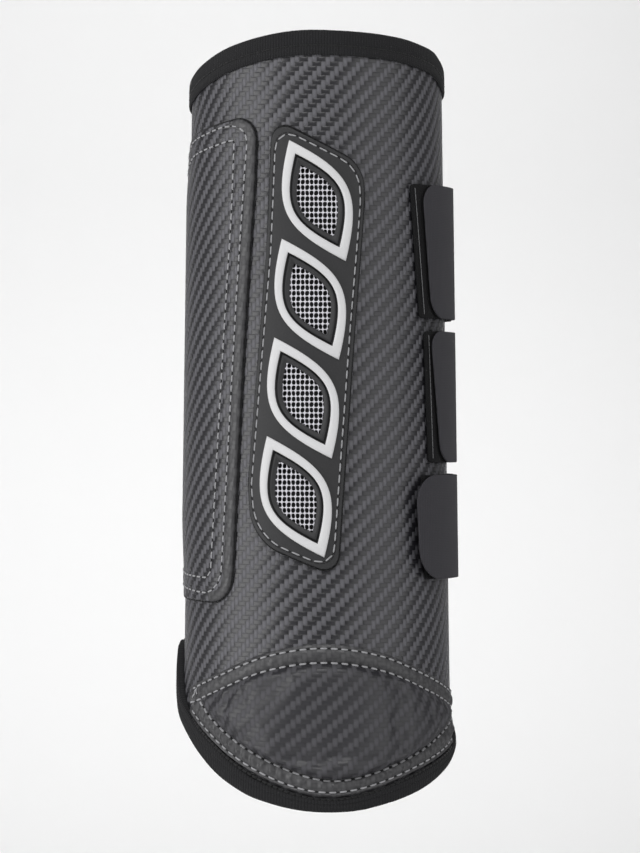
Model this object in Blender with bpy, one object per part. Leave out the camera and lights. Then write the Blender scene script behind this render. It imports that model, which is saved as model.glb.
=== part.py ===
"""Tendon boot for a horse's hind leg, closed round the leg.

The boot is cut from flat sheets and wrapped round a slightly tapered leg form, so every
panel here is drawn flat and then wrapped.  +Z runs up the leg, the leg's axis is the Z
axis, and the origin lies on it at the boot's mid-height.  Round the leg, angles are in
degrees: 0 is the front (-Y), 90 the side with the closing straps (+X), 180 the back.

Driving lengths are in millimetres and become metres where vertices are placed.
"""
import math

import bmesh
import bpy
from mathutils import Matrix, Vector

MM = 0.001
OBJECT_NAME = "tendon_boot"

# Leg form: radius of the shell's outer face, which widens downwards and flares at the hem.
FLAT_RADIUS = 50.0
MID_RADIUS = 49.8
TAPER = 0.0135
FLARE_START = -85.0
FLARE_LENGTH = 58.0
FLARE = 0.8

# Where the wrap starts, flexes and ends.  HINGE and HINGE - 360 are the same line.
NEAR_EDGE = 112.0
FAR_EDGE = 138.0
HINGE = 228.0
FLEX_GAP = 0.5

# Heights of the finished edges round the leg, as (angle, height).
TOP_EDGE = [(-132, 128), (-118, 128.6), (-103, 129.8), (-90, 131.4), (-76, 134.3), (-65, 137.2),
            (-40, 143.3), (-12, 147.4), (12, 147.5), (40, 146), (56, 144), (66, 142.6), (77, 139.4),
            (88, 136.9), (102, 135.2), (120, 133), (138, 130.5), (165, 128), (195, 127.2), (228, 128)]
BOTTOM_EDGE = [(-132, -80), (-108, -86), (-97, -91.5), (-90, -99), (-80, -108.8), (-68, -116.4),
               (-58, -122.9), (-46, -130), (-36, -134.7), (-26, -138.5), (-6, -142.6), (14, -143),
               (30, -140.5), (44, -137.3), (53, -134.7), (62, -131.7), (74, -127.6), (82, -124.5),
               (94, -121), (112, -114), (138, -102), (165, -90), (190, -83), (228, -80)]

# Layers, measured outwards from the shell's outer face: (inner offset, outer offset).
GAP = 0.3
SHELL = (-2.0, 0.0)
FOAM = (-6.7, -2.3)
LINING = (-8.6, -7.0)

# Edge bindings: tape folded over all layers.
TOP_TAPE = 0.9
TOP_BAND = 9.4
HEM_TAPE = 1.7
HEM_BAND = 4.8
EDGE_TAPE = 0.9
EDGE_BAND = 6.5
TAPE_BEVEL = 0.45
TAPE_HEM = 0.5
SIDE_FOLD_STEPS = 8

# Vent: a rubber plate with leaning leaf-shaped windows, each with a raised rim.
LEAF_TIP = Vector((-10.4, 22.5))
LEAF_SHOULDER = Vector((12.8, 10.5))
LEAF_HIP = Vector((16.7, 3.1))
LEAF_TOP = Vector((0.2, 84.0))
LEAF_STEP = Vector((-2.65, -36.7))
LEAF_COUNT = 4
RIM_INSIDE = 0.77
WINDOW = 0.70
VENT_MESH = (0.3, 0.7)
PLATE = (1.0, 1.9)
RIM = (1.0, 2.8)

# Straps: heights of each strap's band, and the angles of the tips' corners (upper, lower).
STRAP_BANDS = [(40.7, 91.2), (-13.7, 36.0), (-57.6, -18.3)]
ELASTIC_TIPS = [(46.6, 52.0), (55.0, 57.3), (52.0, 54.0)]
COVER_TIPS = [(48.9, 54.7), (53.6, 60.6), (43.3, 45.8)]
COVER_CORNERS = [8.0, 7.0, 11.0]
STRAP_ROOT = 150.0
COVER_ROOT = 146.0
ANCHOR_END = 172.0
ELASTIC = 0.8
STRAP_COVER = 0.9
HOOK = 0.4
LOOP_PATCH = (0.3, 0.8)
HOOK_SPAN = (59.0, 77.0)
COVER_HOOK_SPAN = (66.0, 78.0)
PATCH_SPAN = (56.0, 80.0)
LIFT_LOW = 0.4
LIFT_HIGH = 1.8
LIFT_RAMP = 8.0
EDGE_CLEARANCE = 4.0
PATCH_INSET = 2.5
HOOK_INSET = 4.0
AXIS_CLEARANCE = 0.1

FACET = 5.0


# ---------------------------------------------------------------- geometry of the leg form

def form_radius(height):
    """Radius of the shell's outer face at a height."""
    flare = max(0.0, (FLARE_START - height) / FLARE_LENGTH)
    return MID_RADIUS - TAPER * height + FLARE * flare ** 2


def place(angle, height, offset):
    """World position of a point at an offset outwards from the shell's outer face."""
    radius = (form_radius(height) + offset) * MM
    turn = math.radians(angle)
    return Vector((radius * math.sin(turn), -radius * math.cos(turn), height * MM))


def arc(angle):
    """Distance along the flat pattern for an angle round the leg."""
    return math.radians(angle) * FLAT_RADIUS


def tape_angle(distance):
    """Angle that a distance along the sheet covers."""
    return math.degrees(distance / FLAT_RADIUS)


def edge_height(points, angle):
    """Height at an angle of the smooth line through an edge's points."""
    last = len(points) - 2
    i = max(0, min(last, sum(1 for p in points if p[0] <= angle) - 1))
    slopes = []
    for k in (i, i + 1):
        a, b = points[max(k - 1, 0)], points[min(k + 1, last + 1)]
        slopes.append((b[1] - a[1]) / (b[0] - a[0]))
    width = points[i + 1][0] - points[i][0]
    t = (angle - points[i][0]) / width
    rise = points[i][1] * (2 * t ** 3 - 3 * t ** 2 + 1) + points[i + 1][1] * (3 * t ** 2 - 2 * t ** 3)
    return rise + width * (slopes[0] * (t ** 3 - 2 * t ** 2 + t) + slopes[1] * (t ** 3 - t ** 2))


def ramp(value, start, end):
    """0 before start, 1 after end, smooth between."""
    t = max(0.0, min(1.0, (value - start) / (end - start)))
    return t * t * (3 - 2 * t)


def angles_between(start, end):
    """Facet angles from start to end, on whole multiples of FACET between them."""
    inner = [k * FACET for k in range(math.ceil(start / FACET), math.floor(end / FACET) + 1)]
    return [start] + [a for a in inner if start + 1 < a < end - 1] + [end]


# ---------------------------------------------------------------- flat outlines

def band_outline(start, end, low, high):
    """Outline of a sheet between two angles and two edge lines, given as functions of angle."""
    stations = angles_between(start, end)
    lower = [(arc(a), low(a)) for a in stations]
    upper = [(arc(a), high(a)) for a in reversed(stations)]
    return lower + upper


def bezier(points, steps):
    """Points of a cubic Bezier curve, without its last one."""
    curve = []
    for k in range(steps):
        t = k / steps
        weights = ((1 - t) ** 3, 3 * t * (1 - t) ** 2, 3 * t * t * (1 - t), t ** 3)
        curve.append(sum((w * p for w, p in zip(weights, points)), Vector((0.0, 0.0))))
    return curve


def leaf_outline(index, scale, grow=0.0):
    """Outline of one leaf window: two mirrored arcs that meet in pointed tips."""
    centre = LEAF_TOP + index * LEAF_STEP
    right = bezier([LEAF_TIP, LEAF_SHOULDER, LEAF_HIP, -LEAF_TIP], 12)
    whole = right + [-p for p in right]
    return [tuple(centre + p * scale + p.normalized() * grow) for p in whole]


def rounded_outline(corners, radii):
    """Outline through the corners (anticlockwise), each cut back and rounded."""
    outline = []
    count = len(corners)
    for i, (corner, radius) in enumerate(zip(corners, radii)):
        corner = Vector(corner)
        if radius == 0:
            outline.append(tuple(corner))
            continue
        before = (Vector(corners[i - 1]) - corner).normalized() * radius
        after = (Vector(corners[(i + 1) % count]) - corner).normalized() * radius
        handles = [corner + before, corner + before * 0.45, corner + after * 0.45, corner + after]
        outline += [tuple(p) for p in bezier(handles, 5)] + [tuple(handles[-1])]
    return outline


def grown(outline, distance):
    """The outline moved outwards by a distance (inwards if negative); it runs anticlockwise."""
    result = []
    count = len(outline)
    for i in range(count):
        before = (Vector(outline[i]) - Vector(outline[i - 1])).normalized()
        after = (Vector(outline[(i + 1) % count]) - Vector(outline[i])).normalized()
        normal = Vector((before.y + after.y, -before.x - after.x)).normalized()
        reach = distance / max(0.5, normal.dot(Vector((after.y, -after.x))))
        result.append(tuple(Vector(outline[i]) + normal * reach))
    return result


def plate_outline():
    """Outline of the vent plate: a long leaning band with slanted, rounded ends."""
    corners = [(7.4, -55.6), (9.4, -26.0), (14.0, 36.0), (18.2, 84.0), (17.5, 97.2), (-17.0, 114.9),
               (-19.0, 65.0), (-23.3, 13.0), (-26.2, -22.0), (-24.3, -42.0)]
    return rounded_outline(corners, [8, 0, 0, 0, 7, 9, 0, 0, 0, 11])


# ---------------------------------------------------------------- making objects

def clear_scene():
    """Remove whatever objects the scene holds."""
    for item in list(bpy.data.objects):
        bpy.data.objects.remove(item, do_unlink=True)


def make_material(name, colour, roughness, metallic=0.0):
    """Principled material with one colour."""
    material = bpy.data.materials.new(name)
    material.use_nodes = True
    shader = material.node_tree.nodes["Principled BSDF"]
    shader.inputs["Base Color"].default_value = (*colour, 1.0)
    shader.inputs["Roughness"].default_value = roughness
    shader.inputs["Metallic"].default_value = metallic
    return material


def add_part(name, mesh, material, body):
    """Add a mesh, given in world space, as a named part under its body's empty."""
    origin = BODY_ORIGINS[body]
    mesh.transform(Matrix.Translation(-origin))
    mesh.materials.append(material)
    mesh.shade_smooth()
    mesh.set_sharp_from_angle(angle=math.radians(30))
    part = bpy.data.objects.new(name, mesh)
    part.parent = EMPTIES[body]
    PARTS.objects.link(part)
    return part


def flat_sheet(name, outlines):
    """Mesh of a sheet one unit thick, filled between flat outlines."""
    curve = bpy.data.curves.new(name, "CURVE")
    curve.dimensions = "2D"
    curve.fill_mode = "BOTH"
    curve.extrude = 0.5
    for outline in outlines:
        spline = curve.splines.new("POLY")
        spline.points.add(len(outline) - 1)
        for point, (x, y) in zip(spline.points, outline):
            point.co = (x, y, 0.0, 1.0)
        spline.use_cyclic_u = True
    flat = bpy.data.objects.new(name + "_flat", curve)
    PARTS.objects.link(flat)
    mesh = bpy.data.meshes.new_from_object(flat.evaluated_get(bpy.context.evaluated_depsgraph_get()))
    bpy.data.objects.remove(flat)
    bpy.data.curves.remove(curve)
    return mesh


def face_outwards(solid):
    """Turn the faces of a closed mesh outwards."""
    bmesh.ops.recalc_face_normals(solid, faces=solid.faces)
    if solid.calc_volume(signed=True) < 0:
        bmesh.ops.reverse_faces(solid, faces=solid.faces)


def crease(sheet, point, normal):
    """Cut every face of the flat sheet along a plane, so that it can bend there."""
    everything = sheet.verts[:] + sheet.edges[:] + sheet.faces[:]
    bmesh.ops.bisect_plane(sheet, geom=everything, dist=1e-4, plane_co=point, plane_no=normal)


def add_panel(name, outlines, layer, body, material, lift=None, rows=()):
    """Cut a sheet to flat outlines, wrap it round the leg form and add it as a part.

    layer is its (inner, outer) offset; lift(angle, height, side) raises it further, where
    side is 0 on the inner face and 1 on the outer one; rows are heights where it may bend.
    """
    mesh = flat_sheet(name, outlines)
    sheet = bmesh.new()
    sheet.from_mesh(mesh)
    bmesh.ops.remove_doubles(sheet, verts=sheet.verts, dist=1e-4)
    bmesh.ops.dissolve_limit(sheet, angle_limit=math.radians(0.1), verts=sheet.verts, edges=sheet.edges)
    reach = [v.co.x for v in sheet.verts]
    first = math.ceil(math.degrees(min(reach) / FLAT_RADIUS) / FACET)
    last = math.floor(math.degrees(max(reach) / FLAT_RADIUS) / FACET)
    for k in range(first, last + 1):
        crease(sheet, (arc(k * FACET), 0, 0), (1, 0, 0))
    for height in rows:
        crease(sheet, (0, height, 0), (0, 1, 0))
    for vertex in sheet.verts:
        side = 1 if vertex.co.z > 0 else 0
        angle = math.degrees(vertex.co.x / FLAT_RADIUS)
        height = vertex.co.y
        rise = lift(angle, height, side) if lift else 0.0
        vertex.co = place(angle, height, layer[side] + rise)
    face_outwards(sheet)
    sheet.to_mesh(mesh)
    sheet.free()
    return add_part(name, mesh, material, body)


def add_loft(name, rings, body, material):
    """Skin equal rings of points into one solid, with a face over the first and last."""
    loft = bmesh.new()
    loops = [[loft.verts.new(point) for point in ring] for ring in rings]
    count = len(loops[0])
    for lower, upper in zip(loops, loops[1:]):
        for i in range(count):
            j = (i + 1) % count
            loft.faces.new((lower[i], lower[j], upper[j], upper[i]))
    loft.faces.new(loops[0])
    loft.faces.new(loops[-1])
    face_outwards(loft)
    mesh = bpy.data.meshes.new(name)
    loft.to_mesh(mesh)
    loft.free()
    return add_part(name, mesh, material, body)


# ---------------------------------------------------------------- edges of the layers

def slope_factor(points, angle):
    """How much longer a vertical step is than the same step square to a sloping edge."""
    step = 1.0
    rise = edge_height(points, angle + step) - edge_height(points, angle - step)
    run = arc(angle + step) - arc(angle - step)
    return math.hypot(rise, run) / run


def inside_top(angle):
    """Top of the layers, under the fold of the top binding."""
    return edge_height(TOP_EDGE, angle) - (TOP_TAPE + GAP) * slope_factor(TOP_EDGE, angle)


def inside_bottom(angle):
    """Bottom of the layers, above the fold of the bottom binding."""
    return edge_height(BOTTOM_EDGE, angle) + (HEM_TAPE + GAP) * slope_factor(BOTTOM_EDGE, angle)


def fold_profile(tape, band):
    """Section of a folded tape, as (offset, depth from the edge); it reaches a band's width
    over both faces of the layers."""
    outer = SHELL[1] + GAP
    inner = LINING[0] - GAP
    bevel = tape * TAPE_BEVEL
    return [(outer, band), (outer + tape, band - TAPE_HEM), (outer + tape, bevel),
            (outer + tape - bevel, 0), (inner - tape + bevel, 0), (inner - tape, bevel),
            (inner - tape, band - TAPE_HEM), (inner, band), (inner, tape), (outer, tape)]


def add_fold(name, points, start, end, tape, band, direction, body):
    """Tape folded over a top (direction 1) or bottom (-1) edge, from one angle to another."""
    rings = []
    for angle in angles_between(start, end):
        factor = slope_factor(points, angle) * direction
        edge = edge_height(points, angle)
        rings.append([place(angle, edge - depth * factor, offset)
                      for offset, depth in fold_profile(tape, band)])
    return add_loft(name, rings, body, TAPE)


def add_side_fold(name, edge, inward, body):
    """Tape folded over a straight closing edge; inward is the direction of the sheet."""
    rings = []
    for step in range(SIDE_FOLD_STEPS + 1):
        ring = []
        for offset, depth in fold_profile(EDGE_TAPE, EDGE_BAND):
            angle = edge + inward * tape_angle(depth)
            low = edge_height(BOTTOM_EDGE, angle)
            high = edge_height(TOP_EDGE, angle)
            ring.append(place(angle, low + (high - low) * step / SIDE_FOLD_STEPS, offset))
        rings.append(ring)
    return add_loft(name, rings, body, TAPE)


# ---------------------------------------------------------------- the wrap

MAIN_START = HINGE - 360 + tape_angle(FLEX_GAP / 2)
MAIN_END = NEAR_EDGE - tape_angle(EDGE_TAPE + GAP)
WING_START = FAR_EDGE + tape_angle(EDGE_TAPE + GAP)
WING_END = HINGE - tape_angle(FLEX_GAP / 2)
BAND_ANGLE = tape_angle(EDGE_BAND + GAP)
FLARE_ROWS = (-100, -118, -132)


def add_main_wrap():
    """Shell, padding and lining that go round the front of the leg."""
    outline = band_outline(MAIN_START, MAIN_END, inside_bottom, inside_top)
    windows = [leaf_outline(i, WINDOW) for i in range(LEAF_COUNT)]
    add_panel("outer_shell", [outline] + windows, SHELL, "main_wrap", CARBON, rows=FLARE_ROWS)
    add_panel("foam_core", [outline], FOAM, "main_wrap", FOAM_GREY, rows=FLARE_ROWS)
    add_panel("mesh_lining", [outline], LINING, "main_wrap", LINING_BLACK, rows=FLARE_ROWS)


def add_rear_wing():
    """Shell, padding and lining of the flap that opens at the back of the leg."""
    outline = band_outline(WING_START, WING_END, inside_bottom, inside_top)
    add_panel("rear_shell", [outline], SHELL, "rear_wing", CARBON, rows=FLARE_ROWS)
    add_panel("rear_foam", [outline], FOAM, "rear_wing", FOAM_GREY, rows=FLARE_ROWS)
    add_panel("rear_lining", [outline], LINING, "rear_wing", LINING_BLACK, rows=FLARE_ROWS)


def add_bindings():
    """Tape folded over every free edge of the wrap."""
    near = NEAR_EDGE - BAND_ANGLE
    far = FAR_EDGE + BAND_ANGLE
    add_fold("top_binding", TOP_EDGE, MAIN_START, near, TOP_TAPE, TOP_BAND, 1, "main_wrap")
    add_fold("bottom_binding", BOTTOM_EDGE, MAIN_START, near, HEM_TAPE, HEM_BAND, -1, "main_wrap")
    add_side_fold("near_edge_binding", NEAR_EDGE, -1, "main_wrap")
    add_fold("rear_top_binding", TOP_EDGE, far, WING_END, TOP_TAPE, TOP_BAND, 1, "rear_wing")
    add_fold("rear_bottom_binding", BOTTOM_EDGE, far, WING_END, HEM_TAPE, HEM_BAND, -1, "rear_wing")
    add_side_fold("far_edge_binding", FAR_EDGE, 1, "rear_wing")


# ---------------------------------------------------------------- front of the shell

STRIKE_FRONT = [(-23.7, 116.4), (-24.7, 89.0), (-27.9, 45.0), (-30.0, 10.0), (-33.0, -50.0), (-34.3, -66.0)]
STRIKE_BACK = -126.0
STRIKE_PANEL = (0.3, 1.6)


def strike_outline():
    """Outline of the raised panel on the inner side of the leg."""
    back = arc(STRIKE_BACK)
    corners = [(back, -62.0), (-64.0, -65.4)] + STRIKE_FRONT[::-1] + [(-64.0, 110.3), (back, 97.0)]
    return rounded_outline(corners, [9, 0, 9, 0, 0, 0, 0, 10, 0, 9])


def add_vent():
    """Mesh strip over the shell's windows, the rubber plate over it, and the leaf-shaped rims."""
    holes = [leaf_outline(i, 1.0, GAP) for i in range(LEAF_COUNT)]
    add_panel("vent_plate", [plate_outline()] + holes, PLATE, "main_wrap", RUBBER)
    for i in range(LEAF_COUNT):
        ring = [leaf_outline(i, 1.0), leaf_outline(i, RIM_INSIDE)]
        add_panel(f"vent_rim_{i + 1}", ring, RIM, "main_wrap", RIM_WHITE)
    add_panel("vent_mesh", [grown(plate_outline(), -2.6)], VENT_MESH, "main_wrap", MESH_GREY)


PAD_UPPER = [(-67, -99.0), (-46, -92.6), (-21, -84.2), (2, -81.0), (26, -83.9), (53, -92.7), (80, -101.0)]
PAD_LOWER = [(-67, -106.8), (-54, -114.4), (-32, -125.9), (-10, -134.0), (5, -136.8), (20, -135.2),
             (45, -128.8), (62, -123.4), (80, -118.2)]
PAD_ENDS = (-66.5, 79.5)
PAD_RIM = 4.0
PAD_HEIGHT = 4.6
PAD_COVER = 1.0
PAD_SHOULDER = 13.0
PAD_END_FADE = (4.0, 34.0)
PAD_ROWS = range(-132, -82, 4)
PADDING = (0.3, 0.8)
PADDING_INSET = 8.0
PADDING_ENDS = (-46, 60)


def puff(angle, height, rim):
    """Rise of the fetlock pad over its stitched rim, from 0 at the rim to 1 in the middle."""
    low = edge_height(PAD_LOWER, angle) + rim
    high = edge_height(PAD_UPPER, angle) - rim
    across = ramp(min(height - low, high - height), 0.0, PAD_SHOULDER)
    along = ramp(min(angle - PAD_ENDS[0], PAD_ENDS[1] - angle), *PAD_END_FADE)
    return across * along if high > low else 0.0


def pad_lift(angle, height, side):
    """Lift of both faces of the cover."""
    return PAD_HEIGHT * puff(angle, height, PAD_RIM)


def padding_lift(angle, height, side):
    """Lift of the padding's outer face, which fills the space under the cover."""
    room = PAD_HEIGHT * puff(angle, height, PAD_RIM) - GAP - PADDING[1]
    return max(0.0, room) if side else 0.0


def pad_outline(ends, inset):
    """Outline of the pad between two angles, inset from its lower and upper edges."""
    return band_outline(*ends, lambda a: edge_height(PAD_LOWER, a) + inset,
                        lambda a: edge_height(PAD_UPPER, a) - inset)


def add_fetlock_pad():
    """Puffed pad over the fetlock: a cover stitched to the shell, and foam under it."""
    layer = (GAP, GAP + PAD_COVER)
    add_panel("fetlock_cover", [pad_outline(PAD_ENDS, 0.0)], layer, "main_wrap", CARBON,
              lift=pad_lift, rows=PAD_ROWS)
    add_panel("fetlock_padding", [pad_outline(PADDING_ENDS, PADDING_INSET)], PADDING, "main_wrap",
              FOAM_GREY, lift=padding_lift, rows=PAD_ROWS)


# ---------------------------------------------------------------- closing straps

def strap_lift(angle, height=0.0, side=0):
    """Height of the elastic strap's inner face over the shell along its way.

    It lies high over the hook pad, low between, and high again over the edge bindings and
    the gap that the wrap leaves open.
    """
    over_patch = 1 - ramp(angle, PATCH_SPAN[1], PATCH_SPAN[1] + LIFT_RAMP)
    crest = NEAR_EDGE - tape_angle(EDGE_BAND) - EDGE_CLEARANCE
    over_edges = ramp(angle, crest - LIFT_RAMP, crest)
    return LIFT_LOW + (LIFT_HIGH - LIFT_LOW) * max(over_patch, over_edges)


def cover_lift(angle, height=0.0, side=0):
    """Height of the strap cover's inner face: on the elastic, and over its own hook pad."""
    crest = COVER_HOOK_SPAN[1] + 1
    over_hook = 1 - ramp(angle, crest, crest + LIFT_RAMP)
    return strap_lift(angle) + ELASTIC + GAP + (HOOK + GAP) * over_hook


def hook_lift(angle, height=0.0, side=0):
    """Height of a hook pad's inner face under the elastic strap."""
    return strap_lift(angle) - GAP - HOOK


def cover_hook_lift(angle, height=0.0, side=0):
    """Height of the outer hook pad's inner face, between elastic and cover."""
    return strap_lift(angle) + ELASTIC + GAP


def strap_outline(band, tips, end, corner):
    """Flat outline of a strap from its rounded tip to its sewn end."""
    low, high = band
    corners = [(arc(tips[1]), low), (arc(end), low), (arc(end), high), (arc(tips[0]), high)]
    return rounded_outline(corners, [corner, 0, 0, corner])


def block_outline(span, band, inset):
    """Rectangle between two angles, inset from a strap's edges."""
    low, high = band[0] + inset, band[1] - inset
    corners = [(arc(span[0]), low), (arc(span[1]), low), (arc(span[1]), high), (arc(span[0]), high)]
    return rounded_outline(corners, [2, 2, 2, 2])


def anchor_lift(angle, height=0.0, side=0):
    """The sewn end drops from the level of the edge binding onto the shell."""
    return (LIFT_LOW - LIFT_HIGH) * ramp(angle, STRAP_ROOT + 2, STRAP_ROOT + 10)


def add_strap(index):
    """One closing strap: anchor, elastic, its hook pad, the cover over it and its hook pad."""
    number = index + 1
    band = STRAP_BANDS[index]
    elastic_body = f"strap_{number}"
    cover_body = f"strap_cover_{number}"
    add_panel(f"loop_patch_{number}", [block_outline(PATCH_SPAN, band, PATCH_INSET)], LOOP_PATCH,
              "main_wrap", LOOP)
    root = arc(STRAP_ROOT) + GAP * 1.5
    anchor = [(root, band[0]), (arc(ANCHOR_END), band[0]), (arc(ANCHOR_END), band[1]), (root, band[1])]
    layer = (LIFT_HIGH, LIFT_HIGH + ELASTIC)
    add_panel(f"strap_anchor_{number}", [rounded_outline(anchor, [0, 3, 3, 0])], layer,
              "rear_wing", WEBBING, lift=anchor_lift)
    tips = ELASTIC_TIPS[index]
    add_panel(f"elastic_strap_{number}", [strap_outline(band, tips, STRAP_ROOT, 1.5)],
              (0.0, ELASTIC), elastic_body, ELASTIC_BLACK, lift=strap_lift)
    add_panel(f"strap_hook_{number}", [block_outline(HOOK_SPAN, band, HOOK_INSET)], (0.0, HOOK),
              elastic_body, HOOK_BLACK, lift=hook_lift)
    add_panel(f"strap_cover_{number}",
              [strap_outline(band, COVER_TIPS[index], COVER_ROOT, COVER_CORNERS[index])],
              (0.0, STRAP_COVER), cover_body, WEBBING, lift=cover_lift)
    add_panel(f"cover_hook_{number}", [block_outline(COVER_HOOK_SPAN, band, HOOK_INSET)], (0.0, HOOK),
              cover_body, HOOK_BLACK, lift=cover_hook_lift)


# ---------------------------------------------------------------- bodies and their joint axes

def axis_point(angle, radius):
    """Point of a joint axis that runs along the leg, at mid-height."""
    turn = math.radians(angle)
    return Vector((radius * math.sin(turn), -radius * math.cos(turn), 0.0)) * MM


WING_AXIS_RADIUS = 53.2
BODY_PARENTS = {"main_wrap": None, "rear_wing": "main_wrap"}
BODY_ORIGINS = {"main_wrap": Vector((0, 0, 0)), "rear_wing": axis_point(HINGE, WING_AXIS_RADIUS)}
for strap_number, strap_band in enumerate(STRAP_BANDS, 1):
    widest = form_radius(strap_band[0]) + LIFT_HIGH + ELASTIC
    BODY_PARENTS[f"strap_{strap_number}"] = "rear_wing"
    BODY_PARENTS[f"strap_cover_{strap_number}"] = f"strap_{strap_number}"
    BODY_ORIGINS[f"strap_{strap_number}"] = axis_point(STRAP_ROOT, widest + AXIS_CLEARANCE)
    widest += GAP + STRAP_COVER
    BODY_ORIGINS[f"strap_cover_{strap_number}"] = axis_point(COVER_ROOT, widest + AXIS_CLEARANCE)
EMPTIES = {}


def add_bodies():
    """One empty for each rigid body, on its joint axis, under its parent body's empty."""
    for body, parent in BODY_PARENTS.items():
        empty = bpy.data.objects.new(f"axis_{body}", None)
        empty.empty_display_size = 10 * MM
        PARTS.objects.link(empty)
        empty.location = BODY_ORIGINS[body]
        if parent:
            empty.location = BODY_ORIGINS[body] - BODY_ORIGINS[parent]
            empty.parent = EMPTIES[parent]
        EMPTIES[body] = empty


clear_scene()
PARTS = bpy.data.collections.new(OBJECT_NAME)
bpy.context.scene.collection.children.link(PARTS)

CARBON = make_material("carbon_shell", (0.095, 0.093, 0.102), 0.42)
FOAM_GREY = make_material("foam", (0.05, 0.05, 0.052), 0.95)
LINING_BLACK = make_material("lining", (0.02, 0.02, 0.021), 0.9)
TAPE = make_material("binding_tape", (0.017, 0.017, 0.018), 0.8)
RUBBER = make_material("vent_rubber", (0.055, 0.055, 0.057), 0.6)
RIM_WHITE = make_material("vent_rim", (0.75, 0.75, 0.75), 0.4)
MESH_GREY = make_material("vent_mesh", (0.48, 0.47, 0.52), 0.7)
ELASTIC_BLACK = make_material("elastic", (0.035, 0.034, 0.038), 0.85)
WEBBING = make_material("strap_webbing", (0.045, 0.044, 0.05), 0.8)
HOOK_BLACK = make_material("hook_pad", (0.012, 0.012, 0.012), 0.7)
LOOP = make_material("loop_patch", (0.02, 0.02, 0.02), 0.95)

add_bodies()
add_main_wrap()
add_rear_wing()
add_bindings()
add_panel("strike_panel", [strike_outline()], STRIKE_PANEL, "main_wrap", CARBON)
add_vent()
add_fetlock_pad()
for strap_index in range(len(STRAP_BANDS)):
    add_strap(strap_index)
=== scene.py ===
"""Looks of the tendon boot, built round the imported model's frame.

Panels are drawn flat, as (distance round the leg, height), and wrapped round the leg form.
Angles round the leg are in degrees: 0 is the front (-Y), 90 the side with the strap ends
(+X), 180 the back.  Lengths are in millimetres until place() turns them into metres.
"""
import math

import bmesh
import bpy
import numpy as np
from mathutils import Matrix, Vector


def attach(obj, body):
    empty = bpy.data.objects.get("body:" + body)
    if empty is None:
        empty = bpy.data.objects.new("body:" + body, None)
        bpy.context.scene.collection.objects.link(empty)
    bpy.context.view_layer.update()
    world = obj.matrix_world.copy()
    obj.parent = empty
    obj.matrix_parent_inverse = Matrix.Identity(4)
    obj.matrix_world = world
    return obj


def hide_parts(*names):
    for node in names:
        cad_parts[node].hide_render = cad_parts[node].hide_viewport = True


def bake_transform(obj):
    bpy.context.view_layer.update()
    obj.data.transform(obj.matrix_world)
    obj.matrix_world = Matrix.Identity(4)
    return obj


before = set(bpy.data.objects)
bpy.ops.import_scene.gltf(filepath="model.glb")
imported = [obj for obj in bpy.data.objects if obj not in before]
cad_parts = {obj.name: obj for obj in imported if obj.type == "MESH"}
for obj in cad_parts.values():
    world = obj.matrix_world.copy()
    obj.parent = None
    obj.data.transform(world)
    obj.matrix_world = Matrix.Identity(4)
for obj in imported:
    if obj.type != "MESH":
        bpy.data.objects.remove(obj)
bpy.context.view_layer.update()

MM = 0.001

# Leg form and edges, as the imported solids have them.
FLAT_RADIUS = 50.0
MID_RADIUS = 49.8
TAPER = 0.0135
FLARE_START = -85.0
FLARE_LENGTH = 58.0
FLARE = 0.8
NEAR_EDGE = 112.0
FAR_EDGE = 138.0
TOP_EDGE = [(-132, 128), (-118, 128.6), (-103, 129.8), (-90, 131.4), (-76, 134.3), (-65, 137.2),
            (-40, 143.3), (-12, 147.4), (12, 147.5), (40, 146), (56, 144), (66, 142.6), (77, 139.4),
            (88, 136.9), (102, 135.2), (120, 133), (138, 130.5), (165, 128), (195, 127.2), (228, 128)]
TOP_EDGE += [(angle + 360, height) for angle, height in TOP_EDGE[1:5]]
BOTTOM_EDGE = [(-132, -80), (-108, -86), (-97, -91.5), (-90, -99), (-80, -108.8), (-68, -116.4),
               (-58, -122.9), (-46, -130), (-36, -134.7), (-26, -138.5), (-6, -142.6), (14, -143),
               (30, -140.5), (44, -137.3), (53, -134.7), (62, -131.7), (74, -127.6), (82, -124.5),
               (94, -121), (112, -114), (138, -102), (165, -90), (190, -83), (228, -80)]
BOTTOM_EDGE += [(angle + 360, height) for angle, height in BOTTOM_EDGE[1:4]]
SHELL = (-2.0, 0.0)
FOAM = (-6.7, -2.3)
LINING = (-8.6, -7.0)
GAP = 0.3
TOP_TAPE = 0.9
TOP_BAND = 9.4
HEM_TAPE = 1.7
HEM_BAND = 4.8
EDGE_TAPE = 0.9
EDGE_BAND = 6.5

# Vent windows.
LEAF_TIP = Vector((-10.4, 22.5))
LEAF_SHOULDER = Vector((12.8, 10.5))
LEAF_HIP = Vector((16.7, 3.1))
LEAF_TOP = Vector((0.2, 84.0))
LEAF_STEP = Vector((-2.65, -36.7))
LEAF_COUNT = 4
PLATE = (0.3, 1.9)
RIM_TOP = 2.9
SHELL_HOLE = 0.62
PLATE_HOLE = 0.9
MESH_SCALE = 0.64

# The seam behind the strike panel where the front and rear halves of the visual wrap meet.
SEAM = -100.0


# ---------------------------------------------------------------- leg form

def form_radius(height):
    """Radius of the shell's outer face at a height."""
    flare = max(0.0, (FLARE_START - height) / FLARE_LENGTH)
    return MID_RADIUS - TAPER * height + FLARE * flare ** 2


def place(angle, height, offset):
    """World position of a point at an offset outwards from the shell's outer face."""
    radius = (form_radius(height) + offset) * MM
    turn = math.radians(angle)
    return Vector((radius * math.sin(turn), -radius * math.cos(turn), height * MM))


def arc(angle):
    """Distance along the flat pattern for an angle round the leg."""
    return math.radians(angle) * FLAT_RADIUS


def turned(distance):
    """Angle that a distance along the flat pattern covers."""
    return math.degrees(distance / FLAT_RADIUS)


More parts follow.
